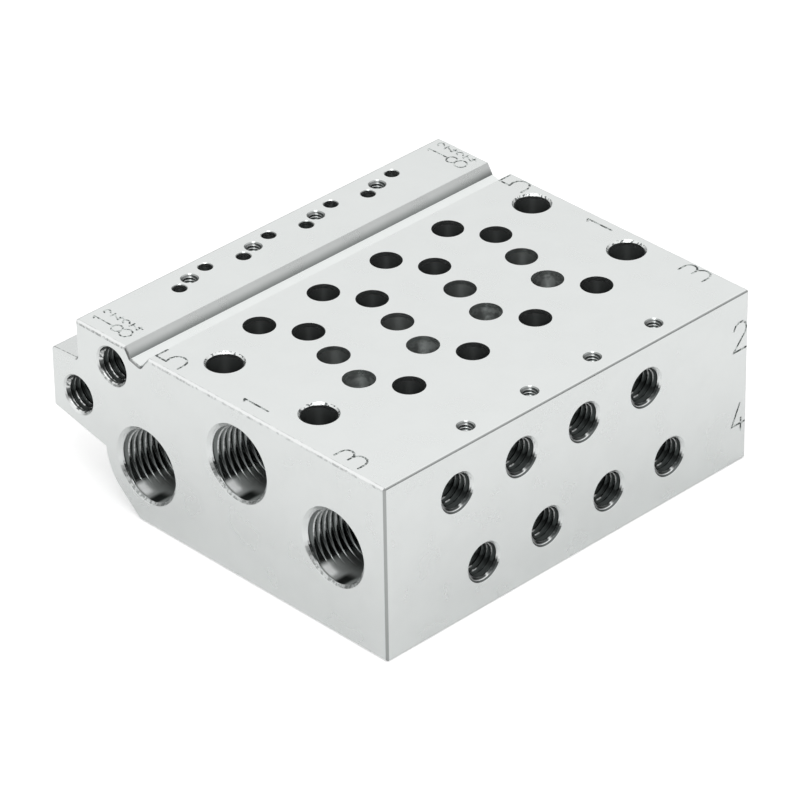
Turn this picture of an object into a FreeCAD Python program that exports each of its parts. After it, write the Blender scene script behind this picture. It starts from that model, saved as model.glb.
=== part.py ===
"""Manifold base for a row of 5/2-way valves on a 10.5 mm grid, one machined aluminium extrusion.

Frame: X across the base towards the outlet face, Y along the valve row, Z up from the flat
underside, with the origin under the middle of the bounding box. Millimetres.
Depths are measured down from the deck, the flat top that the valves sit on, and offsets
across the base are measured from the outlet face or from the supply gallery.
"""
import FreeCAD, Part
import math
import os
import Sketcher

Vector = FreeCAD.Vector
COVERAGE = 0.5

SIZES = [
    ("valve_count", "4", "valves side by side"),
    ("pitch", "10.5", "from one valve to the next"),
    ("near_margin", "15.9", "near end to the first valve's centre line"),
    ("far_margin", "13.6", "last valve's centre line to the far end"),
    ("base_height", "23.9", "underside to deck"),
    ("groove_from_face", "39.85", "outlet face to the groove beside the deck"),
    ("groove_floor_run", "1.5", "deck edge of the groove to its lowest line"),
    ("groove_depth", "1.85", "deck to the lowest line of the groove"),
    ("ridge_from_face", "43.9", "outlet face to the top edge of the pilot ridge"),
    ("ridge_wall_run", "0.85", "how far the ridge wall leans out at its foot"),
    ("ridge_wall_depth", "1.4", "deck to the foot of the ridge wall"),
    ("ridge_width", "8.85", "flat top of the pilot ridge"),
    ("ledge_width", "4.75", "ledge outside the ridge"),
    ("ledge_depth_inner", "5.6", "deck to the ledge, at the ridge"),
    ("ledge_depth_outer", "5.9", "deck to the ledge, at its outer edge"),
    ("ledge_under_outer", "14.1", "deck to the underside of the ledge, outer edge"),
    ("ledge_under_inner", "16.1", "deck to the underside of the ledge, inner end"),
    ("foot_from_face", "42.7", "outlet face to the far edge of the underside"),
    ("exhaust_wall_radius", "7.45", "outside of the wall that wraps the outer exhaust gallery"),
    ("exhaust_wall_lift", "0.9", "underside up to the lowest line of that round wall"),
    ("corner_round", "0.3", "rounding of the extrusion's outer corners"),
    ("ledge_round", "0.5", "rounding between ridge and ledge"),
    ("groove_round", "0.5", "rounding of the groove's lowest line"),
    ("end_bevel", "0.25", "bevel round both sawn ends"),
    ("supply_from_face", "24.85", "outlet face to the supply gallery and its row of ports"),
    ("supply_depth", "7.85", "deck to the supply gallery's axis"),
    ("exhaust_offset", "16.1", "supply gallery to each exhaust gallery, across"),
    ("inner_exhaust_depth", "12.0", "deck to the axis of the exhaust gallery by the outlets"),
    ("gallery_bore", "7.0", "diameter of the three long galleries"),
    ("pilot_one_from_face", "46.45", "outlet face to the upper pilot gallery"),
    ("pilot_one_depth", "3.9", "deck to the upper pilot gallery's axis"),
    ("pilot_two_from_face", "52.85", "outlet face to the lower pilot gallery"),
    ("pilot_two_depth", "10.7", "deck to the lower pilot gallery's axis"),
    ("pilot_bore", "4.1", "diameter of the two pilot galleries"),
    ("main_thread", "9.73", "major diameter of the G1/8 thread"),
    ("main_thread_length", "7.5", "depth of the G1/8 threads"),
    ("main_rim", "10.4", "countersink of the G1/8 ports"),
    ("small_thread", "5.0", "major diameter of the M5 thread"),
    ("small_thread_length", "5.5", "depth of the M5 threads"),
    ("small_rim", "5.4", "countersink of the M5 ports"),
    ("screw_thread", "2.0", "major diameter of the M2 thread"),
    ("screw_thread_length", "5.0", "depth of the M2 threads"),
    ("screw_rim", "2.3", "countersink of the M2 holes"),
    ("port_diameter", "4.05", "valve ports in the deck"),
    ("exhaust_port_offset", "11.1", "supply row to the exhaust port rows, across"),
    ("work_port_offset", "5.9", "supply row to the work port rows, across"),
    ("port_stagger", "1.55", "how far the outer rows are staggered along the base"),
    ("port_overrun", "2.0", "how far an exhaust port is drilled past its gallery's axis"),
    ("work_port_overrun", "0.3", "how far a work port is drilled past its channel's lowest line"),
    ("upper_outlet_depth", "5.9", "deck to the upper row of outlets"),
    ("upper_outlet_shift", "4.25", "upper outlets, back from their valve's centre line"),
    ("lower_outlet_depth", "17.55", "deck to the lower row of outlets"),
    ("outlet_channel", "3.3", "diameter of the channel behind each outlet"),
    ("mount_diameter", "4.5", "four through holes for the mounting screws"),
    ("mount_rim", "5.0", "countersink of the mounting holes"),
    ("mount_offset", "8.0", "supply gallery to each line of mounting holes, across"),
    ("mount_near_margin", "5.9", "near end to the first mounting holes"),
    ("mount_spacing", "51.5", "between the mounting holes, along the base"),
    ("screw_from_face", "2.9", "outlet face to the valve screw holes of the deck"),
    ("screw_spacing", "47.0", "between the two screws that hold one valve"),
    ("pilot_port_diameter", "1.8", "pilot ports in the ridge"),
    ("pilot_port_rim", "2.0", "countersink of the pilot ports"),
    ("pilot_port_one_across", "0.85", "ridge screw to the upper gallery's port, across"),
    ("pilot_port_one_along", "2.4", "ridge screw to the upper gallery's port, along"),
    ("pilot_port_two_across", "0.65", "ridge screw to the lower gallery's port, across"),
    ("pilot_port_two_along", "3.15", "ridge screw to the lower gallery's port, along"),
    ("pilot_port_overrun", "1.0", "how far a pilot port is drilled past its gallery's axis"),
    ("digit_height", "4.0", "port numbers beside the galleries and outlets"),
    ("pilot_digit_height", "3.1", "first figure of a pilot port number"),
    ("pilot_small_height", "1.45", "its two stacked second figures"),
    ("digit_foot", "3.5", "gallery axis to the foot of its port number, across"),
    ("outer_digit_foot", "5.25", "the same, for the exhaust gallery by the groove"),
    ("digit_stroke", "0.28", "width of an engraved line"),
    ("pilot_digit_stroke", "0.22", "width of an engraved line on the ridge"),
    ("digit_depth", "0.15", "depth of an engraved line"),
    ("digit_margin", "0.9", "near end to the port numbers"),
    ("digit_spacing", "57.4", "from the near port numbers to the far ones"),
    ("pilot_digit_gap", "0.25", "between the two pilot port numbers, across the ridge"),
    ("pilot_digit_edge", "1.3", "edge of the ridge to the nearer pilot port number"),
    ("pilot_digit_margin", "1.2", "near end to the pilot port numbers"),
    ("pilot_digit_spacing", "56.0", "from the near pilot numbers to the far ones"),
]

DERIVED = [
    ("base_length", "=near_margin + (valve_count - 1) * pitch + far_margin", "near end to far end"),
    ("base_width", "=ridge_from_face + ridge_width + ledge_width", "outlet face to ledge"),
    ("face", "=base_width / 2", "outlet face, in X"),
    ("half_length", "=base_length / 2", "far end, in Y"),
    ("first_valve", "=near_margin - base_length / 2", "first valve's centre line, in Y"),
    ("supply", "=face - supply_from_face", "supply gallery, in X"),
    ("outer_exhaust_depth", "=base_height - exhaust_wall_radius - exhaust_wall_lift",
     "deck to the axis of the exhaust gallery by the ridge"),
    ("ridge_screw", "=face - screw_from_face - screw_spacing", "screw holes of the ridge, in X"),
]

doc = FreeCAD.newDocument("manifold")
sheet = doc.addObject("Spreadsheet::Sheet", "sizes")
for row, (alias, content, meaning) in enumerate(SIZES + DERIVED, start=1):
    sheet.set(f"A{row}", meaning)
    sheet.set(f"B{row}", content)
    sheet.setAlias(f"B{row}", alias)
doc.recompute()

body = doc.addObject("PartDesign::Body", "machined_base")


def size(expression):
    """Value of an expression in the sheet's names."""
    return float(sheet.evalExpression(expression))


def bind(target, prop, expression):
    """Ties a property to an expression in the sheet's names."""
    names = sorted((alias for alias, _, _ in SIZES + DERIVED), key=len, reverse=True)
    words = []
    word = ""
    for letter in expression + " ":
        if letter.isalnum() or letter == "_":
            word += letter
            continue
        words.append("sizes." + word if word in names else word)
        words.append(letter)
        word = ""
    target.setExpression(prop, "".join(words).strip())


def origin_feature(role):
    """Origin plane or axis of the body."""
    return next(item for item in body.Origin.OriginFeatures if item.Role == role)


def sketch_on(plane, name, offset):
    """Empty sketch on an origin plane, moved out along the plane's normal."""
    sketch = body.newObject("Sketcher::SketchObject", name)
    sketch.AttachmentSupport = [(origin_feature(plane), "")]
    sketch.MapMode = "FlatFace"
    bind(sketch, "AttachmentOffset.Base.z", offset)
    return sketch


def hold_point(sketch, geometry, point, across, up):
    """Fixes a point of a sketch by its two distances from the sketch's origin."""
    for kind, expression in (("DistanceX", across), ("DistanceY", up)):
        index = sketch.addConstraint(
            Sketcher.Constraint(kind, -1, 1, geometry, point, size(expression)))
        bind(sketch, f"Constraints[{index}]", expression)


def hold_radius(sketch, geometry, expression):
    """Fixes the radius of a circle or an arc."""
    index = sketch.addConstraint(Sketcher.Constraint("Radius", geometry, size(expression)))
    bind(sketch, f"Constraints[{index}]", expression)


def extrusion_profile():
    """Section of the extrusion, seen from the near end, with X across and Z up."""
    sketch = sketch_on("XZ_Plane", "profile", "half_length")
    outline = [
        ("face - foot_from_face", "0"),
        ("face", "0"),
        ("face", "base_height"),
        ("face - groove_from_face", "base_height"),
        ("face - groove_from_face - groove_floor_run", "base_height - groove_depth"),
        ("face - ridge_from_face + ridge_wall_run", "base_height - ridge_wall_depth"),
        ("face - ridge_from_face", "base_height"),
        ("face - ridge_from_face - ridge_width", "base_height"),
        ("face - ridge_from_face - ridge_width", "base_height - ledge_depth_inner"),
        ("-face", "base_height - ledge_depth_outer"),
        ("-face", "base_height - ledge_under_outer"),
    ]
    points = [Vector(size(across), size(up), 0) for across, up in outline]
    centre = ("supply - exhaust_offset", "base_height - outer_exhaust_depth")
    middle = Vector(size(centre[0]), size(centre[1]), 0)
    radius = size("exhaust_wall_radius")

    rise = size("base_height - ledge_under_inner") - middle.y
    wall_start = Vector(middle.x - math.sqrt(radius ** 2 - rise ** 2), middle.y + rise, 0)
    to_foot = points[0] - middle
    foot_angle = math.atan2(to_foot.y, to_foot.x)
    tangent_angle = foot_angle - math.acos(radius / to_foot.Length)
    wall_end = middle + Vector(math.cos(tangent_angle), math.sin(tangent_angle), 0) * radius
    start_angle = math.atan2(wall_start.y - middle.y, wall_start.x - middle.x)

    corners = points + [wall_start]
    for start, end in zip(corners, corners[1:]):
        sketch.addGeometry(Part.LineSegment(start, end), False)
    arc = sketch.addGeometry(
        Part.ArcOfCircle(Part.Circle(middle, Vector(0, 0, 1), radius), start_angle, tangent_angle), False)
    last = sketch.addGeometry(Part.LineSegment(wall_end, points[0]), False)

    for line in range(1, arc):
        sketch.addConstraint(Sketcher.Constraint("Coincident", line - 1, 2, line, 1))
    sketch.addConstraint(Sketcher.Constraint("Coincident", arc - 1, 2, arc, 1))
    sketch.addConstraint(Sketcher.Constraint("Tangent", arc, 2, last, 1))
    sketch.addConstraint(Sketcher.Constraint("Coincident", last, 2, 0, 1))
    for line, (across, up) in enumerate(outline):
        hold_point(sketch, line, 1, across, up)
    hold_point(sketch, arc, 3, *centre)
    hold_radius(sketch, arc, "exhaust_wall_radius")
    index = sketch.addConstraint(Sketcher.Constraint("DistanceY", -1, 1, arc, 1, wall_start.y))
    bind(sketch, f"Constraints[{index}]", "base_height - ledge_under_inner")
    return sketch


def edges_at(shape, across, up):
    """Names of the edges that run the length of the base at one point of its section."""
    found = []
    for index, edge in enumerate(shape.Edges, start=1):
        box = edge.BoundBox
        if box.YLength < size("base_length") * COVERAGE or box.XLength > COVERAGE:
            continue
        if abs(edge.CenterOfMass.x - size(across)) < 0.01 and abs(edge.CenterOfMass.z - size(up)) < 0.01:
            found.append(f"Edge{index}")
    return found


def round_edges(name, places, radius):
    """Fillet along the edges at the given points of the section."""
    doc.recompute()
    base = body.Tip
    names = [edge for across, up in places for edge in edges_at(base.Shape, across, up)]
    fillet = body.newObject("PartDesign::Fillet", name)
    fillet.Base = (base, names)
    bind(fillet, "Radius", radius)
    return fillet


def bevel_ends():
    """Small bevel round the whole outline of both ends."""
    doc.recompute()
    base = body.Tip
    names = []
    for index, edge in enumerate(base.Shape.Edges, start=1):
        box = edge.BoundBox
        if box.YLength < 0.001 and abs(abs(box.YMin) - size("half_length")) < 0.001:
            names.append(f"Edge{index}")
    chamfer = body.newObject("PartDesign::Chamfer", "end_bevels")
    chamfer.Base = (base, names)
    bind(chamfer, "Size", "end_bevel")
    return chamfer


FACES = {
    "deck": ("XY_Plane", "base_height", False),
    "outlet_face": ("YZ_Plane", "face", False),
    "near_end": ("XZ_Plane", "half_length", False),
    "far_end": ("XZ_Plane", "-half_length", True),
}


def drill(name, face, centres, diameter, depth=None, rim=None, pointed=False):
    """Round holes from one face of the base: through, or to a depth, with or without a countersink."""
    plane, offset, backwards = FACES[face]
    sketch = sketch_on(plane, name + "_centres", offset)
    for across, up in centres:
        circle = Part.Circle(Vector(size(across), size(up), 0), Vector(0, 0, 1), size(diameter) / 2)
        index = sketch.addGeometry(circle, False)
        hold_point(sketch, index, 3, across, up)
        hold_radius(sketch, index, diameter + " / 2")
    doc.recompute()
    before = body.Shape.Volume
    hole = body.newObject("PartDesign::Hole", name)
    hole.Profile = (sketch, [])
    hole.Reversed = backwards
    hole.Refine = False
    hole.DrillPoint = "Angled" if pointed else "Flat"
    bind(hole, "Diameter", diameter)
    if depth is None:
        hole.DepthType = "ThroughAll"
    else:
        hole.DepthType = "Dimension"
        bind(hole, "Depth", depth)
    if rim is not None:
        hole.HoleCutType = "Countersink"
        hole.HoleCutCountersinkAngle = 90
        bind(hole, "HoleCutDiameter", rim)
    doc.recompute()
    if body.Shape.Volume >= before:
        raise RuntimeError(name + " removes nothing")
    return hole


def repeat_along_row(name, features):
    """Repeats holes of the first valve place at every other one."""
    pattern = body.newObject("PartDesign::LinearPattern", name)
    pattern.Originals = features
    pattern.Direction = (origin_feature("Y_Axis"), [""])
    pattern.Mode = "Spacing"
    pattern.Refine = False
    bind(pattern, "Offset", "pitch")
    bind(pattern, "Occurrences", "valve_count")
    body.Tip = pattern
    doc.recompute()
    return pattern


def extrude_base():
    """The extrusion, cut to length, with its corners rounded and its ends bevelled."""
    pad = body.newObject("PartDesign::Pad", "extrusion")
    pad.Profile = (extrusion_profile(), [])
    pad.Reversed = True
    bind(pad, "Length", "base_length")
    outer = [
        ("face", "0"),
        ("face", "base_height"),
        ("face - ridge_from_face - ridge_width", "base_height"),
        ("-face", "base_height - ledge_depth_outer"),
        ("-face", "base_height - ledge_under_outer"),
    ]
    round_edges("outer_corners", outer, "corner_round")
    inner = [("face - ridge_from_face - ridge_width", "base_height - ledge_depth_inner")]
    round_edges("ledge_corner", inner, "ledge_round")
    floor = [("face - groove_from_face - groove_floor_run", "base_height - groove_depth")]
    round_edges("groove_floor", floor, "groove_round")
    bevel_ends()


def drill_galleries():
    """Three main galleries and two pilot galleries, threaded at both ends."""
    main = [
        ("supply", "base_height - supply_depth"),
        ("supply + exhaust_offset", "base_height - inner_exhaust_depth"),
        ("supply - exhaust_offset", "base_height - outer_exhaust_depth"),
    ]
    pilot = [
        ("face - pilot_one_from_face", "base_height - pilot_one_depth"),
        ("face - pilot_two_from_face", "base_height - pilot_two_depth"),
    ]
    drill("main_galleries", "near_end", main, "gallery_bore")
    drill("pilot_galleries", "near_end", pilot, "pilot_bore")
    for end in ("near_end", "far_end"):
        drill("main_threads_" + end, end, main, "main_thread", "main_thread_length", "main_rim")
        drill("pilot_threads_" + end, end, pilot, "small_thread", "small_thread_length", "small_rim")


def drill_valve_places():
    """Ports, outlets and screw holes of one valve place, repeated along the row."""
    exhausts = {
        "inner_exhaust_port": ("supply + exhaust_port_offset", "first_valve + port_stagger",
                               "inner_exhaust_depth + port_overrun"),
        "outer_exhaust_port": ("supply - exhaust_port_offset", "first_valve - port_stagger",
                               "outer_exhaust_depth + port_overrun"),
    }
    features = [drill("supply_port", "deck", [("supply", "first_valve")], "port_diameter", "supply_depth")]
    for name, (across, along, depth) in exhausts.items():
        features.append(drill(name, "deck", [(across, along)], "port_diameter", depth, pointed=True))
    work = {
        "upper": ("supply + work_port_offset", "first_valve - port_stagger",
                  "first_valve - upper_outlet_shift", "upper_outlet_depth"),
        "lower": ("supply - work_port_offset", "first_valve + port_stagger",
                  "first_valve", "lower_outlet_depth"),
    }
    for name, (across, along, outlet_along, depth) in work.items():
        outlet = [(outlet_along, "base_height - " + depth)]
        features.append(drill(name + "_work_port", "deck", [(across, along)], "port_diameter",
                              depth + " + outlet_channel / 2 + work_port_overrun", pointed=True))
        features.append(drill(name + "_channel", "outlet_face", outlet, "outlet_channel",
                              "face - (" + across + ") + outlet_channel / 4", pointed=True))
        features.append(drill(name + "_outlet", "outlet_face", outlet, "small_thread",
                              "small_thread_length", "small_rim"))
    screws = [("face - screw_from_face", "first_valve"), ("ridge_screw", "first_valve")]
    features.append(drill("valve_screws", "deck", screws, "screw_thread", "screw_thread_length",
                          "screw_rim", pointed=True))
    features.append(drill("upper_pilot_port", "deck",
                          [("ridge_screw + pilot_port_one_across", "first_valve - pilot_port_one_along")],
                          "pilot_port_diameter", "pilot_one_depth + pilot_port_overrun",
                          "pilot_port_rim", pointed=True))
    features.append(drill("lower_pilot_port", "deck",
                          [("ridge_screw - pilot_port_two_across", "first_valve + pilot_port_two_along")],
                          "pilot_port_diameter", "pilot_two_depth + pilot_port_overrun",
                          "pilot_port_rim", pointed=True))
    repeat_along_row("valve_row", features)


def drill_mounting_holes():
    """Four through holes between the galleries, two at each end."""
    rows = ("mount_near_margin - half_length", "mount_near_margin - half_length + mount_spacing")
    centres = [(f"supply {side} mount_offset", row) for side in "+-" for row in rows]
    drill("mounting_holes", "deck", centres, "mount_diameter", rim="mount_rim")


def arc_points(middle, radius, first, last, steps):
    """Points on a round stretch of a figure, angles in degrees."""
    angles = [math.radians(first + (last - first) * step / steps) for step in range(steps + 1)]
    return [(middle[0] + radius * math.cos(angle), middle[1] + radius * math.sin(angle)) for angle in angles]


ROUND_STEPS = 6
FIGURES = {
    1: [[(0.18, 0.90), (0.30, 1.0), (0.30, 0.0)]],
    2: [arc_points((0.30, 0.72), 0.28, 170, -35, ROUND_STEPS) + [(0.02, 0.0), (0.58, 0.0)]],
    3: [[(0.04, 1.0)] + arc_points((0.30, 0.77), 0.23, 90, -90, ROUND_STEPS)
        + arc_points((0.28, 0.27), 0.27, 90, -90, ROUND_STEPS) + [(0.02, 0.0)],
        [(0.14, 0.54), (0.30, 0.54)]],
    4: [[(0.36, 1.0), (0.02, 0.27), (0.60, 0.27)], [(0.42, 0.45), (0.42, 0.0)]],
    5: [[(0.54, 1.0), (0.08, 1.0), (0.08, 0.56), (0.26, 0.60)]
        + arc_points((0.28, 0.30), 0.30, 90, -90, ROUND_STEPS) + [(0.03, 0.0)]],
    8: [arc_points((0.30, 0.77), 0.23, 0, 360, 2 * ROUND_STEPS),
        arc_points((0.30, 0.27), 0.27, 0, 360, 2 * ROUND_STEPS)],
}


def figure_cutter(figure, height, stroke_width):
    """Round-ended strokes of one figure, standing through the plane of its face."""
    radius = stroke_width / 2
    depth = size("digit_depth")
    pieces = []
    for stroke in FIGURES[figure]:
        path = [Vector(across * height, up * height, -depth) for across, up in stroke]
        for point in path:
            pieces.append(Part.makeCylinder(radius, 2 * depth, point))
        for start, end in zip(path, path[1:]):
            side = (end - start).cross(Vector(0, 0, 1)).normalize() * radius
            corners = [start + side, end + side, end - side, start - side, start + side]
            pieces.append(Part.Face(Part.makePolygon(corners)).extrude(Vector(0, 0, 2 * depth)))
    return pieces[0].fuse(pieces[1:]).removeSplitter()


def place_figure(figure, corner, up, normal):
    """Copy of a figure with its lower left corner on a face, read along Y."""
    placed = figure.copy()
    placed.Placement = FreeCAD.Placement(corner, FreeCAD.Rotation(Vector(0, 1, 0), up, normal, "XYZ"))
    return placed


def engraving():
    """All port numbers as one cutter: on the deck and ridge they stand up towards -X."""
    face = size("face")
    top = size("base_height")
    deck = (Vector(-1, 0, 0), Vector(0, 0, 1))
    outlet_face = (Vector(0, 0, 1), Vector(1, 0, 0))
    cutters = []

    height = size("digit_height")
    main = {figure: figure_cutter(figure, height, size("digit_stroke")) for figure in (1, 2, 3, 4, 5)}
    near = size("digit_margin - half_length")
    far = near + size("digit_spacing")
    feet = {
        5: size("supply - exhaust_offset + outer_digit_foot"),
        1: size("supply + digit_foot"),
        3: size("supply + exhaust_offset + digit_foot"),
    }
    for figure, foot in feet.items():
        for row in (near, far):
            cutters.append(place_figure(main[figure], Vector(foot, row, top), *deck))
    for figure, depth in ((2, "upper_outlet_depth"), (4, "lower_outlet_depth")):
        corner = Vector(face, far, top - size(depth) - height / 2)
        cutters.append(place_figure(main[figure], corner, *outlet_face))

    tall = size("pilot_digit_height")
    small = size("pilot_small_height")
    stroke = size("pilot_digit_stroke")
    first = {figure: figure_cutter(figure, tall, stroke) for figure in (1, 8)}
    second = {figure: figure_cutter(figure, small, stroke) for figure in (2, 4)}
    inner_foot = face - size("ridge_from_face") - size("pilot_digit_edge")
    feet = {8: inner_foot, 1: inner_foot - tall - size("pilot_digit_gap")}
    near = size("pilot_digit_margin - half_length")
    for figure, foot in feet.items():
        for row in (near, near + size("pilot_digit_spacing")):
            beside = row + 0.72 * tall
            cutters.append(place_figure(first[figure], Vector(foot, row, top), *deck))
            cutters.append(place_figure(second[4], Vector(foot, beside, top), *deck))
            cutters.append(place_figure(second[2], Vector(foot - tall + small, beside, top), *deck))
    return Part.makeCompound(cutters)


extrude_base()
drill_galleries()
drill_valve_places()
drill_mounting_holes()

numbers = doc.addObject("Part::Feature", "port_numbers")
numbers.Shape = engraving()
base = doc.addObject("Part::Cut", "manifold_base")
base.Base = body
base.Tool = numbers
base.Label = "manifold_base"
doc.recompute()

for item in doc.Objects:
    if "Invalid" in item.State or "Error" in item.State:
        raise RuntimeError(item.Name + " failed")
if base.Shape.isNull() or not base.Shape.isValid() or len(base.Shape.Solids) != 1:
    raise RuntimeError("manifold_base is not one sound solid")

os.makedirs("parts", exist_ok=True)
base.Shape.exportStep("parts/manifold_base.step")
box = base.Shape.BoundBox
print("manifold_base", round(base.Shape.Volume, 1), "mm3", [round(v, 3) for v in (
    box.XMin, box.XMax, box.YMin, box.YMax, box.ZMin, box.ZMax)], len(base.Shape.Faces), "faces")
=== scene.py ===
"""Looks of a machined aluminium valve manifold base: satin metal, cut threads, studio floor and camera.

Sizes are in millimetres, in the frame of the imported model, and become metres where a mesh is made.
"""
import math

import bmesh
import bpy
from mathutils import Matrix, Vector


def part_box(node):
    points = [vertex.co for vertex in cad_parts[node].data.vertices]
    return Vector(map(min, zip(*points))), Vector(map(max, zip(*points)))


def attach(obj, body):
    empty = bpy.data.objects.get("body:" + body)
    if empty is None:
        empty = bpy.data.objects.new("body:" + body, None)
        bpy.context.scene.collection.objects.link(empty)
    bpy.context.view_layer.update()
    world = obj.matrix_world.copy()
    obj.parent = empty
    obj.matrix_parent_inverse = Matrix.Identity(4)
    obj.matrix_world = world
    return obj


MM = 0.001
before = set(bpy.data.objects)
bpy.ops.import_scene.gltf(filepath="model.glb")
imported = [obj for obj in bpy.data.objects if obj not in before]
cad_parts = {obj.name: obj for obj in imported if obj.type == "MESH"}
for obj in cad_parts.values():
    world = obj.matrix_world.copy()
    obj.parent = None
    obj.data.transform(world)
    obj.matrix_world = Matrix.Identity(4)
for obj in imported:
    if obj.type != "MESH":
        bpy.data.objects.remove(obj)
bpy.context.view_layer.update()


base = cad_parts["manifold_base"]
lowest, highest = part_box("manifold_base")
FACE, DECK = highest.x / MM, highest.z / MM
NEAR_END, FAR_END = lowest.y / MM, highest.y / MM

# Places of the holes that are threaded or marked
PITCH = 10.5
VALVE_COUNT = 4
FIRST_VALVE = NEAR_END + 15.9
SUPPLY = FACE - 24.85
OUTLET_2_PORTS = SUPPLY + 5.9
EXHAUST_OFFSET = 16.1
MAIN_PORTS = {
    "port_1": (SUPPLY, DECK - 7.85),
    "port_3": (SUPPLY + EXHAUST_OFFSET, DECK - 12.0),
    "port_5": (SUPPLY - EXHAUST_OFFSET, DECK - 15.55),
}
PILOT_PORTS = {
    "pilot_upper": (FACE - 46.45, DECK - 3.9),
    "pilot_lower": (FACE - 52.85, DECK - 10.7),
}
OUTLETS = {"outlet_2": (-4.25, DECK - 5.9), "outlet_4": (0.0, DECK - 17.55)}
VALVE_SCREWS = {"deck_screw": FACE - 2.9, "ridge_screw": FACE - 49.9}

# Thread forms. "facets" is how many faces go round, and "start" the row of the first crest
PIPE_THREAD = {
    "major": 9.73, "minor": 8.57, "pitch": 0.907, "depth": 7.5, "rim": 10.4, "facets": 96, "start": 6}
FITTING_THREAD = {
    "major": 5.0, "minor": 4.13, "pitch": 0.8, "depth": 5.5, "rim": 5.4, "facets": 64, "start": 0}
SCREW_THREAD = {
    "major": 2.0, "minor": 1.57, "pitch": 0.4, "depth": 5.0, "rim": 2.3, "facets": 40, "start": 0}
THREADS = {"pipe": PIPE_THREAD, "fitting": FITTING_THREAD, "pilot": FITTING_THREAD, "screw": SCREW_THREAD}
ROWS_PER_TURN = 14
FLANK_GAIN = 1.15
SLEEVE_BACK = 0.05
SLEEVE_PROUD = 0.02
WELD = 1e-7
# The extruded channel lies a little lower than the tapped thread, which leaves its lowest wall smooth
CHANNEL_RADIUS = 4.30
CHANNEL_DROP = 0.66
CHANNEL_RISE = 0.030

# Camera, from the perspective of the reference view
CAMERA_AZIMUTH = 46.1044
CAMERA_ELEVATION = 32.4073
CAMERA_ROLL = -0.9423
CAMERA_TARGET = Vector((0.796, -0.905, 10.057))
CAMERA_DISTANCE = 635.95
FOCAL_PIXELS = 5266.4
IMAGE_PIXELS = 800
SENSOR_WIDTH = 36.0
CLIP_START = 10.0


def crest_height(phase):
    """Share of the thread's height at a phase of its turn: 1 on the crest, 0 in the root."""
    wave = 1.0 - 4.0 * abs(phase - round(phase))
    return 0.5 + 0.5 * max(-1.0, min(1.0, FLANK_GAIN * wave))


def channel_wall(angle, depth):
    """Distance from the thread's axis to the wall of the lower channel, which is dropped along -Y."""
    drop = CHANNEL_DROP - CHANNEL_RISE * depth
    aside = drop * math.cos(angle)
    return math.sqrt(CHANNEL_RADIUS ** 2 - aside ** 2) - drop * math.sin(angle)


def sleeve_mesh(name, thread, has_channel):
    """Closed shell that carries one internal thread, with its mouth at the origin and its depth along -Z."""
    root = thread["major"] / 2 - SLEEVE_PROUD
    crest = thread["minor"] / 2
    back = thread["major"] / 2 + SLEEVE_BACK
    top = -(thread["rim"] - thread["major"]) / 2
    bottom = -thread["depth"]
    facets = thread["facets"]
    turns = math.ceil((top - bottom) / thread["pitch"]) + 1
    mesh = bmesh.new()

    def ring_point(angle, radius, height):
        return mesh.verts.new((radius * math.cos(angle) * MM, radius * math.sin(angle) * MM, height * MM))

    columns = []
    for facet in range(facets + 1):
        angle = 2 * math.pi * facet / facets
        column = []
        for row in range(turns * ROWS_PER_TURN + 1):
            height = top + thread["pitch"] * (facet / facets - row / ROWS_PER_TURN)
            height = max(bottom, min(top, height))
            phase = (height - top) / thread["pitch"] - facet / facets + thread["start"] / ROWS_PER_TURN
            radius = root + (crest - root) * crest_height(phase)
            smooth = channel_wall(angle, -height) if has_channel else 0.0
            radius = max(radius, min(root, max(smooth, thread["rim"] / 2 + height)))
            column.append(ring_point(angle, radius, height))
        column += [ring_point(angle, back, bottom), ring_point(angle, back, top)]
        columns.append(column)
    for left, right in zip(columns, columns[1:]):
        for row in range(len(left)):
            below = (row + 1) % len(left)
            mesh.faces.new((left[row], right[row], right[below], left[below]))
    bmesh.ops.remove_doubles(mesh, verts=mesh.verts, dist=WELD)
    bmesh.ops.dissolve_degenerate(mesh, edges=mesh.edges, dist=WELD)
    bmesh.ops.recalc_face_normals(mesh, faces=mesh.faces)
    data = bpy.data.meshes.new(name)
    mesh.to_mesh(data)
    mesh.free()
    for polygon in data.polygons:
        polygon.use_smooth = True
    return data


def facing(axis):
    """Rotation that turns +Z to the way a hole opens, with +Y up in the holes that lie flat."""
    out = Vector(axis)
    up = Vector((0, 1, 0)) if out.z else Vector((0, 0, 1))
    return Matrix((up.cross(out), up, out)).transposed().to_4x4()


def place_sleeve(name, data, mouth, axis):
    """One threaded sleeve in its hole, riding on the base."""
    sleeve = bpy.data.objects.new(name, data)
    bpy.context.scene.collection.objects.link(sleeve)
    sleeve.matrix_world = Matrix.Translation(Vector(mouth) * MM) @ facing(axis)
    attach(sleeve, "root")


def cut_threads():
    """Every thread of the base: pipe threads, fittings and valve screws."""
    meshes = {}
    for kind, thread in THREADS.items():
        meshes[kind] = sleeve_mesh(kind + "_thread", thread, has_channel=(kind == "pipe"))
        meshes[kind].materials.append(thread_metal(kind, thread))
    for end, along, axis in (("near", NEAR_END, (0, -1, 0)), ("far", FAR_END, (0, 1, 0))):
        for name, (across, up) in MAIN_PORTS.items():
            place_sleeve(f"thread_{name}_{end}", meshes["pipe"], (across, along, up), axis)
        for name, (across, up) in PILOT_PORTS.items():
            place_sleeve(f"thread_{name}_{end}", meshes["pilot"], (across, along, up), axis)
    for place in range(VALVE_COUNT):
        row = FIRST_VALVE + place * PITCH
        for name, (shift, up) in OUTLETS.items():
            mouth = (FACE, row + shift, up)
            place_sleeve(f"thread_{name}_place_{place + 1}", meshes["fitting"], mouth, (1, 0, 0))
        for name, across in VALVE_SCREWS.items():
            place_sleeve(f"thread_{name}_place_{place + 1}", meshes["screw"], (across, row, DECK), (0, 0, 1))


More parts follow.
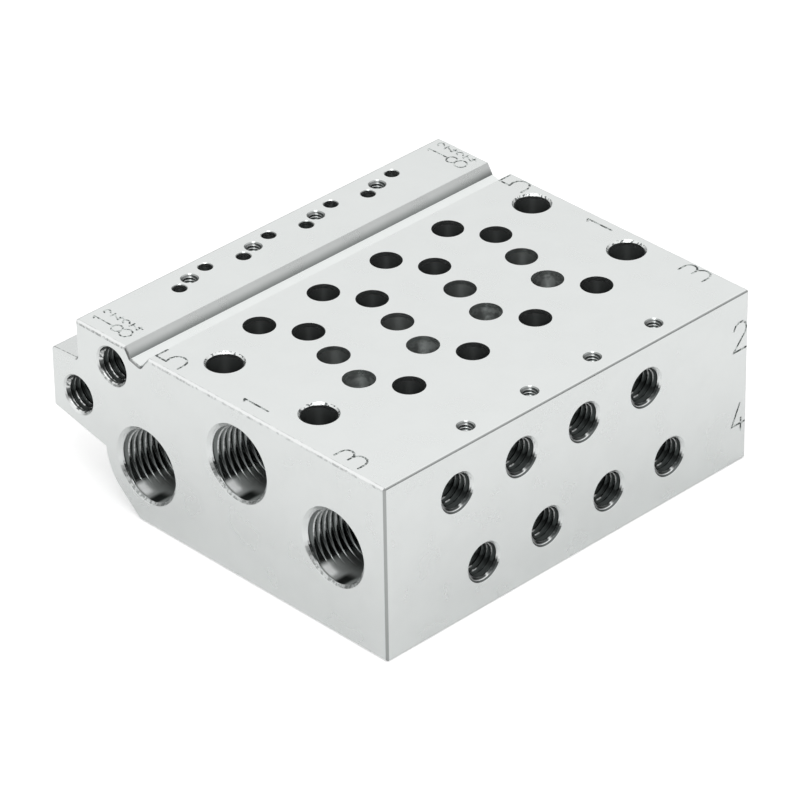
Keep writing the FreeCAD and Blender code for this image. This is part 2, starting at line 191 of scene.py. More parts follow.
def new_material(name):
    """Empty material with nodes."""
    material = bpy.data.materials.new(name)
    material.use_nodes = True
    return material


class Nodes:
    """Short way to write a shader: node() adds a node with its inputs set or linked."""

    def __init__(self, tree):
        self.tree = tree
        tree.nodes.clear()

    def fill(self, socket, value):
        """Link an input to another node, or set its value."""
        if isinstance(value, bpy.types.NodeSocket):
            self.tree.links.new(value, socket)
        else:
            socket.default_value = value

    def node(self, kind, inputs=None, **settings):
        """One node, with its settings."""
        made = self.tree.nodes.new(kind)
        for key, value in settings.items():
            setattr(made, key, value)
        for key, value in (inputs or {}).items():
            self.fill(made.inputs[key], value)
        return made

    def maths(self, operation, first, second=0.0):
        """Result of an operation on one or two numbers."""
        return self.node("ShaderNodeMath", {0: first, 1: second}, operation=operation).outputs[0]

    def vector(self, operation, first, second=(0, 0, 0)):
        """Results of an operation on one or two vectors."""
        return self.node("ShaderNodeVectorMath", {0: first, 1: second}, operation=operation).outputs

    def separate(self, vector):
        """The parts of a vector, by their names X, Y and Z."""
        return self.node("ShaderNodeSeparateXYZ", {0: vector}).outputs

    def millimetres(self):
        """Place of a point on its object, in millimetres."""
        place = self.node("ShaderNodeTexCoord").outputs["Object"]
        return self.vector("MULTIPLY", place, (1 / MM, 1 / MM, 1 / MM))[0]

    def noise(self, space, scale, detail):
        """Soft noise about 0.5."""
        inputs = {"Vector": space, "Scale": scale, "Detail": detail}
        return self.node("ShaderNodeTexNoise", inputs).outputs["Fac"]

    def blend(self, factor, first, second):
        """Colour between two others."""
        mixed = self.node("ShaderNodeMix", data_type="RGBA")
        for index, value in ((0, factor), (6, first), (7, second)):
            self.fill(mixed.inputs[index], value)
        return mixed.outputs[2]

    def span(self, value, low_in, high_in, low_out, high_out):
        """Smooth step of a value from one range to another."""
        made = self.node("ShaderNodeMapRange", interpolation_type="SMOOTHSTEP")
        for index, item in enumerate((value, low_in, high_in, low_out, high_out)):
            self.fill(made.inputs[index], item)
        return made.outputs[0]

    def over(self, value, limit, edge=0.02):
        """1 where a value is over a limit."""
        return self.span(value, limit - edge, limit + edge, 0.0, 1.0)

    def under(self, value, limit, edge=0.02):
        """1 where a value is under a limit."""
        return self.span(value, limit - edge, limit + edge, 1.0, 0.0)

    def band(self, value, middle, half):
        """1 in a narrow band about a value."""
        return self.under(self.size(self.maths("SUBTRACT", value, middle)), half, half / 2)

    def size(self, value):
        """A value without its sign."""
        return self.maths("ABSOLUTE", value)

    def inverse(self, value):
        """1 where a share is 0, and 0 where it is 1."""
        return self.maths("SUBTRACT", 1.0, value)

    def product(self, *factors):
        """All the factors multiplied."""
        result = factors[0]
        for factor in factors[1:]:
            result = self.maths("MULTIPLY", result, factor)
        return result

    def highest(self, *values):
        """The highest of some values."""
        result = values[0]
        for value in values[1:]:
            result = self.maths("MAXIMUM", result, value)
        return result

    def principled(self, inputs):
        """The surface of the material."""
        surface = self.node("ShaderNodeBsdfPrincipled", inputs).outputs[0]
        self.node("ShaderNodeOutputMaterial", {"Surface": surface})


# Colours of the faces, edges and bores of the base, of the painted highlight and painted shade on them, and
# of torn spots
METAL_LIGHT = (0.855, 0.878, 0.869, 1)
METAL_DARK = (0.83, 0.853, 0.844, 1)
# Painted highlight on the end bevel
BEVEL_HIGHLIGHT = (0.95, 0.965, 0.96, 1)
# Dark lines beside the end bevel: on the deck, and painted shade on the end face
BEVEL_LINE_GREY = (0.48, 0.495, 0.49, 1)
# Painted shade on the rounded edge between the deck and the outlet face
LONG_EDGE_SHADE = (0.44, 0.455, 0.45, 1)
# Painted shade on the upright edges at the ends of the outlet face
CORNER_SHADE = (0.42, 0.435, 0.43, 1)
# Painted shade at the ridge's end and round the groove, and the dark line on the ledge
EDGE_LINE = (0.30, 0.31, 0.307, 1)
# Painted shade at the foot of the groove wall and in the countersinks
PAINTED_SHADE = (0.24, 0.255, 0.25, 1)
# Painted shade inside the drilled bores, lighter and darker
LIGHTER_BORE_SHADE = (0.62, 0.65, 0.64, 1)
BORE_SHADE = (0.15, 0.16, 0.158, 1)
# Painted shade in the engraved strokes
DECK_STROKE_SHADE = (0.11, 0.12, 0.118, 1)
FACE_STROKE_SHADE = (0.10, 0.11, 0.108, 1)
# Torn spots, and painted shade under the outlets, in the pipe channel and in the screw threads' roots
DARK = (0.09, 0.10, 0.098, 1)
# Painted shade in the roots of the fittings and in the first root of every thread
DARKEST = (0.04, 0.045, 0.044, 1)

# Colours of the threads, and of the smooth channel in the pipe ports: painted highlights on the crests, the
# mouths and near the channel's mouth, painted shade in the roots and deeper in the channel
CREST_HIGHLIGHT = (0.88, 0.90, 0.895, 1)
ROOT_SHADE = {"pipe": (0.16, 0.172, 0.169, 1), "fitting": DARKEST, "pilot": DARKEST, "screw": DARK}
CHANNEL_HIGHLIGHT = (0.95, 0.97, 0.965, 1)
CHANNEL_DEEP_SHADE = (0.55, 0.58, 0.57, 1)

# Noises: scale per millimetre and detail
CLOUD = (0.22, 3.0)
MILLING = (7.0, 2.0)
SPECK = (1.1, 2.0)
GRIT = (2.6, 3.0)
THREAD_SPECK = (2.0, 3.0)

# Milling marks: their stretch along the base, depth and strength
MILLING_STRETCH = (1.0, 0.03, 1.0)
MILLING_DEPTH = 0.004
MILLING_STRENGTH = 0.25

# Where the section of the base turns, and the sizes of its edges. RIDGE_INSIDE, BODY_INSIDE and
# ABOVE_ROUND_WALL keep what is drawn on drilled walls off the outer walls
RIDGE_INSIDE = FACE - 52.15
RIDGE_WALL_TOP = FACE - 43.9
RIDGE_WALL_FOOT = FACE - 43.05
RIDGE_FOOT_DEPTH = 1.4
WALL_MARGIN = 0.1
BODY_INSIDE = FACE - 42.35
GROOVE_END = FACE - 40.5
GROOVE_DEPTH = 2.4
ABOVE_ROUND_WALL = DECK - 8.9
LEDGE_DEPTH = 5.2
LEDGE_LOWEST = DECK - 18.9
BEVEL = 0.25
CORNER_ROUND = 0.30
ENGRAVED = 0.15

# Where the holes lie that the marks belong to
PORT_ROW_HALF = 2.2
MOUNTING_ZONE = 9.0
MOUNTING_FROM = FACE - 36.75
MOTTLED_FROM = FACE - 48.75
DECK_SCREWS_FROM = VALVE_SCREWS["deck_screw"] - 1.5
RIDGE_SCREW_HALF = 1.3

# Depths under a face: what lies on it, what belongs to a countersink, and what is inside the block
ON_FACE = 0.06
CONE_START = (0.03, 0.02)
DECK_CONE_START = (0.015, 0.01)
DECK_CONE_DEPTH = 0.30
FACE_CONE_DEPTH = 0.25
END_CONE_DEPTH = 0.36
INSIDE = 0.6

# Shares of the way that a surface faces: along an axis, sloping like a countersink, or upright
SQUARE = 0.9
SLOPE = (0.55, 0.85)
WALL_SLOPE = 0.7
UPRIGHT = 0.3
QUITE_UPRIGHT = 0.2
FACE_CONE_LOW = (0.28, 0.10)
END_CONE_LOW = (0.32, 0.10)
EDGE_OUT = (0.45, 0.10)
EDGE_UP = 0.1

# Lines along the ends: distance from the edge with half width or softness, and strength
DECK_LINE = (BEVEL + 0.03, 0.05)
DECK_LINE_SHARE = 0.6
END_SHADE_LINE = (BEVEL + 0.12, 0.15)
END_SHADE_SHARE = 0.9
LEDGE_LINE = (BEVEL + 0.03, 0.09)
GROOVE_LINE = (0.16, 0.04)
GROOVE_TOP = 0.3
UPRIGHT_EDGE = BEVEL + 0.03

# Tone, gloss, painted shade, dark lines and torn spots: the range of a noise or depth in which each changes,
# and the share before and after
TINT = (0.3, 0.7, 0.0, 1.0)
GLOSS = (0.3, 0.7, 0.27, 0.30)
PALE_PATCHES = (0.36, 0.60, 1.2, 3.0)
GROOVE_SHADE = (0.35, RIDGE_FOOT_DEPTH + WALL_MARGIN, 0.0, 1.0)
STROKE_SPECK = (0.38, 0.46, 0.3, 1.0)
STROKE_GRIT = (0.44, 0.52, 0.2, 1.0)
RIDGE_STROKE_BREAKS = (0.47, 0.53, 0.0, 1.0)
BEVEL_LINE_SPECK = (0.36, 0.62, 0.0, 1.0)
BEVEL_LINE_GRIT = (0.36, 0.60, 0.3, 1.0)
RIDGE_LINE_GRIT = (0.44, 0.58, 0.1, 0.8)
LEDGE_LINE_GRIT = (0.42, 0.54, 0.2, 1.0)
TORN_GRIT = (0.51, 0.56, 0.0, 0.9)
END_CONE_GRIT = (0.42, 0.58, 0.85, 0.35)

# Strength of the other marks
PALE_SHARE = 0.33
SCREW_CONE_SHARE = 0.8
FACE_CONE_SHARE = 0.95
BORE_DULLNESS = 0.10
BORE_STREAKS = 0.9


class BaseNodes(Nodes):
    """Nodes that know how far a point of the base lies from its faces, and which way it faces."""

    def __init__(self, tree):
        super().__init__(tree)
        self.place = self.millimetres()
        spot = self.separate(self.place)
        self.x, self.z = spot["X"], spot["Z"]
        self.from_face = self.maths("SUBTRACT", FACE, spot["X"])
        self.from_end = self.maths("SUBTRACT", FAR_END, self.size(spot["Y"]))
        self.from_deck = self.maths("SUBTRACT", DECK, spot["Z"])
        normal = self.separate(self.node("ShaderNodeNewGeometry").outputs["True Normal"])
        self.outward, self.endward, self.upward = normal["X"], normal["Y"], normal["Z"]
        self.speck = self.noise(self.place, *SPECK)
        self.grit = self.noise(self.place, *GRIT)


def bore_walls(metal):
    """Drilled walls inside the block, without the groove, the ledge and the round wall below it."""
    inside = metal.product(
        metal.over(metal.from_face, INSIDE), metal.over(metal.from_end, INSIDE),
        metal.over(metal.from_deck, INSIDE), metal.over(metal.x, RIDGE_INSIDE),
        metal.under(metal.size(metal.upward), UPRIGHT))
    sheltered = metal.highest(metal.over(metal.x, BODY_INSIDE), metal.over(metal.z, ABOVE_ROUND_WALL))
    return metal.product(inside, sheltered)


def bore_shade(metal):
    """Painted shade in the drilled bores: dark, lighter in the valves' supply ports, and in patches in the
    outlet ports beside them.
    """
    supply = metal.band(metal.x, SUPPLY, PORT_ROW_HALF)
    outlet = metal.product(
        metal.band(metal.x, OUTLET_2_PORTS, PORT_ROW_HALF), metal.span(metal.speck, *PALE_PATCHES))
    pale = metal.product(metal.highest(supply, outlet), metal.over(metal.from_end, MOUNTING_ZONE), PALE_SHARE)
    return metal.blend(pale, BORE_SHADE, LIGHTER_BORE_SHADE)


def groove_wall_shade(metal):
    """Painted shade on the wall between the groove and the ridge, darker towards its foot."""
    return metal.product(
        metal.over(metal.x, RIDGE_WALL_TOP + WALL_MARGIN),
        metal.under(metal.x, RIDGE_WALL_FOOT + WALL_MARGIN),
        metal.over(metal.outward, WALL_SLOPE), metal.span(metal.from_deck, *GROOVE_SHADE))


def engraving(metal, facing, depth):
    """Painted shade on the floor of the engraved strokes of one face, broken in patches."""
    return metal.product(
        metal.over(facing, SQUARE), metal.over(depth, ENGRAVED / 3), metal.under(depth, 3 * ENGRAVED),
        metal.span(metal.speck, *STROKE_SPECK), metal.span(metal.grit, *STROKE_GRIT))


def deck_engraving(metal):
    """Painted shade in the engraving of the deck, and of the ridge, where more of it is broken away."""
    ridge_breaks = metal.highest(metal.over(metal.x, RIDGE_WALL_TOP), metal.span(metal.grit, *RIDGE_STROKE_BREAKS))
    return metal.product(engraving(metal, metal.upward, metal.from_deck), ridge_breaks)


def end_face_shade(metal):
    """Painted shade line on the end face, just below the bevel."""
    return metal.product(
        metal.band(metal.from_deck, *END_SHADE_LINE), metal.under(metal.from_end, ON_FACE), END_SHADE_SHARE)


def bevel_edge_lines(metal):
    """Broken dark lines on both sides of the end bevel: a line on the deck, and painted shade on the end
    face.
    """
    deck_edge_line = metal.product(
        metal.band(metal.from_end, *DECK_LINE), metal.under(metal.from_deck, ON_FACE), DECK_LINE_SHARE)
    broken = metal.product(metal.span(metal.speck, *BEVEL_LINE_SPECK), metal.span(metal.grit, *BEVEL_LINE_GRIT))
    return metal.product(metal.highest(deck_edge_line, end_face_shade(metal)), broken)


def outer_edge_lines(metal):
    """Darker lines at the ends of the ridge and of the ledge outside it: painted shade below the ridge's
    bevel, and a dark broken line on the ledge's top along its end.
    """
    ridge = metal.product(
        end_face_shade(metal), metal.under(metal.x, RIDGE_WALL_TOP), metal.span(metal.grit, *RIDGE_LINE_GRIT))
    ledge = metal.product(
        metal.band(metal.from_end, *LEDGE_LINE), metal.over(metal.upward, SQUARE),
        metal.over(metal.from_deck, LEDGE_DEPTH), metal.over(metal.z, LEDGE_LOWEST),
        metal.span(metal.grit, *LEDGE_LINE_GRIT))
    return metal.highest(ridge, ledge)


def countersink(metal, depth, start, end, facing):
    """Slope of the countersinks in one face, between two depths under it."""
    return metal.product(
        metal.over(depth, *start), metal.under(depth, end), metal.over(facing, SLOPE[0]),
        metal.under(facing, SLOPE[1]))


def deck_countersinks(metal):
    """Countersinks in the deck and the ridge."""
    slope = countersink(metal, metal.from_deck, DECK_CONE_START, DECK_CONE_DEPTH, metal.upward)
    return metal.product(slope, metal.over(metal.from_face, INSIDE), metal.over(metal.from_end, INSIDE))


def screw_countersinks(metal):
    """Painted shade in the countersinks of the valve screws."""
    on_screw = metal.highest(
        metal.over(metal.x, DECK_SCREWS_FROM),
        metal.band(metal.x, VALVE_SCREWS["ridge_screw"], RIDGE_SCREW_HALF))
    return metal.product(deck_countersinks(metal), on_screw, SCREW_CONE_SHARE)


def torn_rims(metal):
    """Torn spots on the rims of the mounting holes."""
    return metal.product(
        deck_countersinks(metal), metal.under(metal.from_end, MOUNTING_ZONE),
        metal.over(metal.x, MOUNTING_FROM), metal.span(metal.grit, *TORN_GRIT))


def outlet_rims(metal):
    """Painted shade: a dark line under each outlet, on the lower half of its countersink."""
    slope = countersink(metal, metal.from_face, CONE_START, FACE_CONE_DEPTH, metal.outward)
    return metal.product(
        slope, metal.over(metal.upward, *FACE_CONE_LOW), metal.over(metal.from_end, INSIDE),
        metal.over(metal.from_deck, INSIDE), FACE_CONE_SHARE)


def port_rims(metal):
    """Painted dark reflection, mottled, on the lower half of the countersinks in the near end, apart from the
    lower pilot port.
    """
    nearward = metal.product(metal.endward, -1.0)
    slope = countersink(metal, metal.from_end, CONE_START, END_CONE_DEPTH, nearward)
    return metal.product(
        slope, metal.over(metal.upward, *END_CONE_LOW), metal.over(metal.x, MOTTLED_FROM),
        metal.over(metal.from_deck, INSIDE), metal.span(metal.grit, *END_CONE_GRIT))


def groove_outline(metal):
    """Painted shade: a dark outline of the groove on the end bevel."""
    return metal.product(
        metal.under(metal.from_end, *GROOVE_LINE), metal.over(metal.x, RIDGE_WALL_TOP),
        metal.under(metal.x, GROOVE_END), metal.over(metal.from_deck, GROOVE_TOP),
        metal.under(metal.from_deck, GROOVE_DEPTH), metal.under(metal.size(metal.endward), SQUARE))


def rounded_edge_shade(metal):
    """Painted shade on the rounded edge between the deck and the outlet face."""
    return metal.product(
        metal.under(metal.from_face, CORNER_ROUND), metal.under(metal.from_deck, CORNER_ROUND),
        metal.over(metal.outward, *EDGE_OUT), metal.over(metal.upward, EDGE_UP))


def satin_metal():
    """Clear anodised aluminium: milled faces and torn spots, with a painted highlight on the end bevel, dark
    lines and painted shade along the edges, and painted shade in the bores, engraving, groove and
    countersinks.
    """
    material = new_material("satin_anodised")
    metal = BaseNodes(material.node_tree)
    cloud = metal.noise(metal.place, *CLOUD)
    bore = bore_walls(metal)
    marks = (
        (bore, bore_shade(metal)),
        (groove_wall_shade(metal), PAINTED_SHADE),
        (deck_engraving(metal), DECK_STROKE_SHADE),
        (engraving(metal, metal.outward, metal.from_face), FACE_STROKE_SHADE),
        # Painted highlight on the end bevel
        (metal.product(metal.under(metal.from_end, BEVEL), metal.under(metal.from_deck, BEVEL)), BEVEL_HIGHLIGHT),
        (bevel_edge_lines(metal), BEVEL_LINE_GREY),
        (screw_countersinks(metal), PAINTED_SHADE),
        (torn_rims(metal), DARK),
        (outer_edge_lines(metal), EDGE_LINE),
        (outlet_rims(metal), DARK),
        (port_rims(metal), PAINTED_SHADE),
        (groove_outline(metal), EDGE_LINE),
        (rounded_edge_shade(metal), LONG_EDGE_SHADE),
        # Painted shade on the upright edges at the ends of the outlet face
        (metal.product(
            metal.under(metal.from_face, UPRIGHT_EDGE), metal.under(metal.from_end, UPRIGHT_EDGE)), CORNER_SHADE),
    )
    colour = metal.blend(metal.span(cloud, *TINT), METAL_DARK, METAL_LIGHT)
    for mark, mark_colour in marks:
        colour = metal.blend(mark, colour, mark_colour)
    upright_bore = metal.product(bore, metal.under(metal.size(metal.upward), QUITE_UPRIGHT))
    stretched = metal.node("ShaderNodeMapping", {"Vector": metal.place, "Scale": MILLING_STRETCH}).outputs[0]
    milling = metal.node("ShaderNodeBump", {
        "Height": metal.noise(stretched, *MILLING), "Distance": MILLING_DEPTH * MM,
        "Strength": MILLING_STRENGTH}).outputs[0]
    metal.principled({
        "Base Color": colour,
        "Metallic": 1.0,
        "Roughness": metal.maths("ADD", metal.span(cloud, *GLOSS), metal.product(bore, BORE_DULLNESS)),
        "Normal": milling,
        "Anisotropic": metal.product(upright_bore, BORE_STREAKS),
        "Tangent": metal.node("ShaderNodeCombineXYZ", {2: 1.0}).outputs[0],
    })
    return material


# Painted highlights and shade of the threads. Heights and sides are shares of the radius, up and to the right
# of the hole's axis.
# A pair is a limit with its softness, or the middle of a band with its half width. Four numbers are a range
# and the share before and after it
CREST_RANGE = (0.10, 0.34)
MOUTH_EDGE = (0.05, 0.03)
HIGHLIGHT_SPECK = (0.35, 0.6, 0.55, 1.0)
FIRST_ROOT = (0.75, 0.15)
FIRST_ROOT_SHARE = 0.8
THREAD_GLOSS = (0.0, 1.0, 0.22, 0.40)
# How much of the light on the crests is spread evenly, by kind of thread
CREST_MATT = {"pipe": 0.7, "fitting": 0.85, "pilot": 0.0, "screw": 0.0}
SCREW_MOUTH = 0.4
LOW_HALF = (-0.35, 0.15)

# Painted shade on the mouths of the fittings
FITTING_SHADE = 0.9
LIT_HEIGHT = (0.0, 0.35)
LIT_DEPTH = (2.0, 3.6, 1.0, 0.1)
OUTLET_GLINT_HEIGHT = (-0.90, 0.05)
OUTLET_GLINT_SIDE = (0.10, 0.15)
OUTLET_GLINT_START = (1.3, 0.2)
OUTLET_GLINT_END = (3.0, 0.4)
OUTLET_RING = (2.30, 0.11)
OUTLET_RING_HEIGHT = (-0.70, 0.15)
OUTLET_RING_SIDE = (0.25, 0.10)
OUTLET_SHADE_HEIGHT = (-0.62, 0.34)
OUTLET_SHADE_SIDE = (0.35, 0.10)
OUTLET_SHADE_SPECK = (0.40, 0.50, 0.9, 1.08)

PILOT_LIT = 0.35
PILOT_MOUTH_SPECK = (0.40, 0.56, 0.35, 1.0)
PILOT_GLINT_SPECK = (0.46, 0.54, 0.0, 1.0)
PILOT_GLINT_END = (1.8, 0.4)
PILOT_GLINT_HEIGHT = (-0.5, 0.3)
PILOT_RING = (2.30, 0.06)
PILOT_SHADE_HEIGHT = (-0.33, 0.22)
PILOT_SHADE_SPECK = (0.40, 0.55, 0.45, 1.0)

PIPE_RING = (4.45, 0.07)
PIPE_SHADE_HEIGHT = (-0.55, 0.20)
PIPE_SHADE_SPECK = (0.40, 0.55, 0.2, 1.0)
PIPE_MOTTLE_HEIGHT = (-0.45, 0.10)
PIPE_MOTTLE_SPECK = (0.44, 0.56, 0.75, 0.25)
PIPE_DARK_HEIGHT = (-0.42, 0.14)
PIPE_DARK_SHARE = 0.75

# Painted highlights and shade of the smooth channel in the pipe ports
CHANNEL_EDGE = (CHANNEL_RADIUS - 0.10, CHANNEL_RADIUS - 0.04, 0.0, 1.0)
DASH_HEIGHT = (-0.66, 0.13)
LOW_WALL = (-0.88, -0.76, 1.0, 0.0)
PATCH_START = (0.4, 0.7, 0.0, 1.0)
PATCH_END = (1.3, 2.5, 1.0, 0.0)
PATCH_SIDE = (-0.28, -0.02, 1.0, 0.0)
SHADE_SIDE = (0.14, 0.16)
SHADE_END = (2.4, 0.8)
SHEEN_DEPTH = (2.0, 5.5, 0.42, 0.0)
MATT_SHARE = 0.95


class ThreadNodes(Nodes):
    """Nodes that know how deep in its hole a point of a thread lies, and where round the hole."""

    def __init__(self, tree, thread):
        super().__init__(tree)
        place = self.millimetres()
        spot = self.separate(place)
        self.x, self.y = spot["X"], spot["Y"]
        self.depth = self.product(spot["Z"], -1.0)
        self.radius = self.vector("LENGTH", self.vector("MULTIPLY", place, (1, 1, 0))[0])["Value"]
        self.upward = self.maths("DIVIDE", spot["Y"], self.radius)
        self.sideways = self.maths("DIVIDE", spot["X"], self.radius)
        self.speck = self.noise(place, *THREAD_SPECK)
        inner = thread["minor"] / 2
        height = thread["major"] / 2 - inner
        start, end = (inner + share * height for share in CREST_RANGE)
        self.crest = self.span(self.radius, start, end, 1.0, 0.0)
        on_cone = self.maths("SUBTRACT", thread["rim"] / 2, self.maths("ADD", self.radius, self.depth))
        self.mouth = self.under(self.size(on_cone), *MOUTH_EDGE)


def lit_crests(hole):
    """Painted highlight on the upper crests near the mouth, where they would catch the light."""
    return hole.product(hole.over(hole.upward, *LIT_HEIGHT), hole.span(hole.depth, *LIT_DEPTH))


def unshaded_share(hole, *shades):
    """Share of a fitting's mouth that its painted shade leaves bright."""
    return hole.inverse(hole.product(hole.highest(*shades), FITTING_SHADE))


def outlet_marks(hole):
    """Shares of the crests and of the mouth that keep their painted highlight in an outlet: lit upper crests,
    painted glints low on the deeper crests, and painted shade in a low ring and a patch low on the right.
    """
    glint = hole.product(
        hole.under(hole.upward, *OUTLET_GLINT_HEIGHT), hole.band(hole.sideways, *OUTLET_GLINT_SIDE),
        hole.over(hole.depth, *OUTLET_GLINT_START), hole.under(hole.depth, *OUTLET_GLINT_END))
    shade_ring = hole.product(
        hole.band(hole.radius, *OUTLET_RING), hole.under(hole.upward, *OUTLET_RING_HEIGHT),
        hole.under(hole.sideways, *OUTLET_RING_SIDE))
    shade_patch = hole.product(
        hole.band(hole.upward, *OUTLET_SHADE_HEIGHT), hole.over(hole.sideways, *OUTLET_SHADE_SIDE),
        hole.span(hole.speck, *OUTLET_SHADE_SPECK))
    return hole.highest(lit_crests(hole), glint), unshaded_share(hole, shade_ring, shade_patch)


def pilot_marks(hole):
    """Shares of the crests and of the mouth that keep their painted highlight in a pilot port: dimmer lit
    crests, specks of glint, a mottled mouth, and painted shade in a low ring and a low patch.
    """
    glint = hole.product(
        hole.span(hole.speck, *PILOT_GLINT_SPECK), hole.under(hole.depth, *PILOT_GLINT_END),
        hole.under(hole.upward, *PILOT_GLINT_HEIGHT))
    shade_ring = hole.product(hole.band(hole.radius, *PILOT_RING), hole.under(hole.upward, *LOW_HALF))
    shade_patch = hole.product(
        hole.band(hole.upward, *PILOT_SHADE_HEIGHT), hole.span(hole.speck, *PILOT_SHADE_SPECK))
    crests = hole.highest(hole.product(lit_crests(hole), PILOT_LIT), glint)
    mouth = hole.product(hole.span(hole.speck, *PILOT_MOUTH_SPECK), unshaded_share(hole, shade_ring, shade_patch))
    return crests, mouth


def screw_marks(hole):
    """Shares of the crests and of the mouth that keep their painted highlight in a screw hole: all of the
    crests and a dimmer mouth.
    """
    return 1.0, SCREW_MOUTH


def pipe_marks(hole):
    """Shares of the crests and of the mouth that keep their painted highlight in a pipe port: painted shade
    in a band across the left crests, and in a ring, a patch on the left and mottling low on the mouth.
    """
    left = hole.under(hole.sideways, 0.0)
    shade_ring = hole.product(hole.band(hole.radius, *PIPE_RING), hole.under(hole.upward, *LOW_HALF))
    shade_patch = hole.product(
        hole.band(hole.upward, *PIPE_SHADE_HEIGHT), left, hole.span(hole.speck, *PIPE_SHADE_SPECK))
    mottle = hole.product(
        hole.under(hole.upward, *PIPE_MOTTLE_HEIGHT), hole.span(hole.speck, *PIPE_MOTTLE_SPECK))
    dark = hole.product(hole.band(hole.upward, *PIPE_DARK_HEIGHT), left, PIPE_DARK_SHARE)
    return hole.inverse(dark), hole.inverse(hole.highest(shade_ring, shade_patch, mottle))


THREAD_MARKS = {"pipe": pipe_marks, "fitting": outlet_marks, "pilot": pilot_marks, "screw": screw_marks}


def smooth_channel(hole, colour, bright, matt):
    """Lower wall of a pipe port: painted light dashes where the thread runs out, then bare wall with a
    painted highlight patch near the mouth, a painted shade patch to the right and a matt sheen that fades
    deeper in.
    """
    drop = hole.maths("SUBTRACT", CHANNEL_DROP, hole.product(hole.depth, CHANNEL_RISE))
    from_axis = hole.node("ShaderNodeCombineXYZ", {0: hole.x, 1: hole.maths("ADD", hole.y, drop)})
    at_edge = hole.span(hole.vector("LENGTH", from_axis.outputs[0])["Value"], *CHANNEL_EDGE)
    dash = hole.product(at_edge, hole.band(hole.upward, *DASH_HEIGHT), hole.crest)
    wall = hole.span(hole.upward, *LOW_WALL)
    patch = hole.product(
        wall, hole.span(hole.depth, *PATCH_START), hole.span(hole.depth, *PATCH_END),
        hole.span(hole.sideways, *PATCH_SIDE))
    shade = hole.product(hole.band(hole.sideways, *SHADE_SIDE), hole.under(hole.depth, *SHADE_END))
    sheen = hole.product(wall, hole.span(hole.depth, *SHEEN_DEPTH), hole.inverse(shade))
    # Painted shade patch and painted highlight patch on the channel's lower wall
    wall_colour = hole.blend(shade, hole.blend(patch, CHANNEL_DEEP_SHADE, CHANNEL_HIGHLIGHT), DARK)
    colour = hole.blend(wall, hole.blend(dash, colour, CREST_HIGHLIGHT), wall_colour)
    matt = hole.highest(matt, hole.product(dash, MATT_SHARE), hole.product(patch, MATT_SHARE), sheen)
    return colour, hole.highest(bright, wall), matt


def thread_metal(kind, thread):
    """Freshly cut thread: painted highlights on the speckled crests and the mouth, over painted shade on the
    flanks and roots.
    """
    material = new_material(kind + "_thread")
    hole = ThreadNodes(material.node_tree, thread)
    crest_share, mouth_share = THREAD_MARKS[kind](hole)
    crests = hole.product(hole.crest, hole.span(hole.speck, *HIGHLIGHT_SPECK), crest_share)
    bright = hole.highest(crests, hole.product(hole.mouth, mouth_share))
    colour = hole.blend(bright, ROOT_SHADE[kind], CREST_HIGHLIGHT)
    # Painted shade in the first root, just inside the mouth, where nothing is bright
    first_root = hole.product(hole.under(hole.depth, *FIRST_ROOT), hole.inverse(bright), FIRST_ROOT_SHARE)
    colour = hole.blend(first_root, colour, DARKEST)
    matt = hole.product(crests, CREST_MATT[kind])
    if kind == "pipe":
        colour, bright, matt = smooth_channel(hole, colour, bright, matt)
    hole.principled({
        "Base Color": colour,
        "Metallic": hole.inverse(matt),
        "Roughness": hole.span(bright, *THREAD_GLOSS),
    })
    return material


# Studio: the floor, which lies just clear of the underside, its glow and the sky
FLOOR_SIZE = 4000.0
FLOOR_GAP = 0.02
FLOOR_COLOUR = (0.77, 0.77, 0.77, 1)
CAMERA_LIFT = 0.41
MIRROR_LIFT = 0.10
LIFT_REACH = 25.0
HORIZON_LEVEL = 0.09
OPEN_SKY_FROM = 0.60
WHITE = (1, 1, 1, 1)

# Key light, in millimetres and watts
KEY_PLACE = Vector((250, -260, 620))
KEY_AIM = Vector((0, 0, 12))
KEY_WIDTH = 260
KEY_POWER = 0.9


def floor_glow(shader):
    """Glow of the floor where it is seen directly or in metal. The mirrored glow is painted light on the
    floor that only the metal sees, and it fades close to the base as a painted shadow in the reflection.
    """
    path = shader.node("ShaderNodeLightPath").outputs
    spot = shader.separate(shader.node("ShaderNodeTexCoord").outputs["Object"])
    squares = []
    for axis, half in (("X", FACE), ("Y", FAR_END)):
        beyond = shader.highest(shader.maths("SUBTRACT", shader.size(spot[axis]), half * MM), 0.0)
        squares.append(shader.maths("POWER", beyond, 2.0))
    distance = shader.maths("SQRT", shader.maths("ADD", *squares))
    mirrored = shader.highest(path["Is Glossy Ray"], path["Is Transmission Ray"])
    glow = shader.product(mirrored, shader.span(distance, 0.0, LIFT_REACH * MM, 0.0, MIRROR_LIFT))
    return shader.maths("ADD", shader.product(path["Is Camera Ray"], CAMERA_LIFT), glow)


def lay_floor():
    """Plain pale floor that keeps the object's shadow and reads as white beyond it."""
    data = bpy.data.meshes.new("floor")
    half = FLOOR_SIZE * MM / 2
    corners = [(-half, -half, 0), (half, -half, 0), (half, half, 0), (-half, half, 0)]
    data.from_pydata(corners, [], [(0, 1, 2, 3)])
    floor = bpy.data.objects.new("floor", data)
    floor.location.z = -FLOOR_GAP * MM
    bpy.context.scene.collection.objects.link(floor)
    material = new_material("pale_floor")
    shader = Nodes(material.node_tree)
    matt = shader.node("ShaderNodeBsdfDiffuse", {"Color": FLOOR_COLOUR}).outputs[0]
    glow = shader.node("ShaderNodeEmission", {"Strength": floor_glow(shader)}).outputs[0]
    surface = shader.node("ShaderNodeAddShader", {0: matt, 1: glow}).outputs[0]
    shader.node("ShaderNodeOutputMaterial", {"Surface": surface})
    data.materials.append(material)


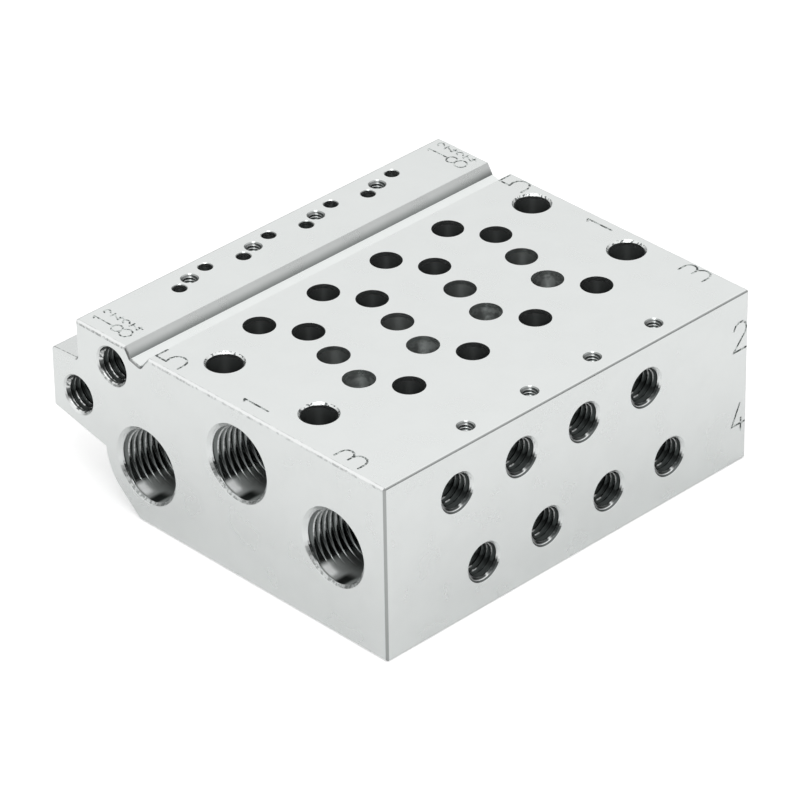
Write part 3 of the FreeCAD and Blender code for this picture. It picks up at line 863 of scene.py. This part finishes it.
def light_world():
    """White surroundings that darken towards the horizon, as between the soft boxes of a studio."""
    world = bpy.data.worlds.new("studio")
    bpy.context.scene.world = world
    world.use_nodes = True
    shader = Nodes(world.node_tree)
    direction = shader.node("ShaderNodeTexCoord").outputs["Generated"]
    level = shader.span(shader.separate(direction)["Z"], 0.0, OPEN_SKY_FROM, HORIZON_LEVEL, 1.0)
    strength = shader.highest(level, shader.node("ShaderNodeLightPath").outputs["Is Camera Ray"])
    sky = shader.node("ShaderNodeBackground", {"Color": WHITE, "Strength": strength}).outputs[0]
    shader.node("ShaderNodeOutputWorld", {"Surface": sky})


def set_camera():
    """Camera at the reference view, rolled a little about its own axis."""
    azimuth, elevation = math.radians(CAMERA_AZIMUTH), math.radians(CAMERA_ELEVATION)
    across = math.cos(elevation)
    back = Vector((math.sin(azimuth) * across, -math.cos(azimuth) * across, math.sin(elevation)))
    level = Vector((0, 0, 1)).cross(back).normalized()
    right = Matrix.Rotation(math.radians(CAMERA_ROLL), 3, back) @ level
    up = back.cross(right)
    pose = Matrix((right, up, back)).transposed().to_4x4()
    pose.translation = (CAMERA_TARGET + back * CAMERA_DISTANCE) * MM
    data = bpy.data.cameras.new("reference_view")
    data.sensor_width = SENSOR_WIDTH
    data.lens = FOCAL_PIXELS * SENSOR_WIDTH / IMAGE_PIXELS
    data.clip_start = CLIP_START * MM
    camera = bpy.data.objects.new("reference_view", data)
    camera.matrix_world = pose
    bpy.context.scene.collection.objects.link(camera)
    bpy.context.scene.camera = camera


def key_light():
    """Square soft box, high above the corner between the near end and the outlet face."""
    data = bpy.data.lights.new("key", "AREA")
    data.size = KEY_WIDTH * MM
    data.energy = KEY_POWER
    light = bpy.data.objects.new("key", data)
    light.location = KEY_PLACE * MM
    light.rotation_euler = (KEY_AIM - KEY_PLACE).to_track_quat("-Z", "Y").to_euler()
    bpy.context.scene.collection.objects.link(light)


base.data.materials.clear()
base.data.materials.append(satin_metal())
cut_threads()
lay_floor()
light_world()
key_light()
set_camera()
bpy.context.scene.view_settings.view_transform = "Standard"
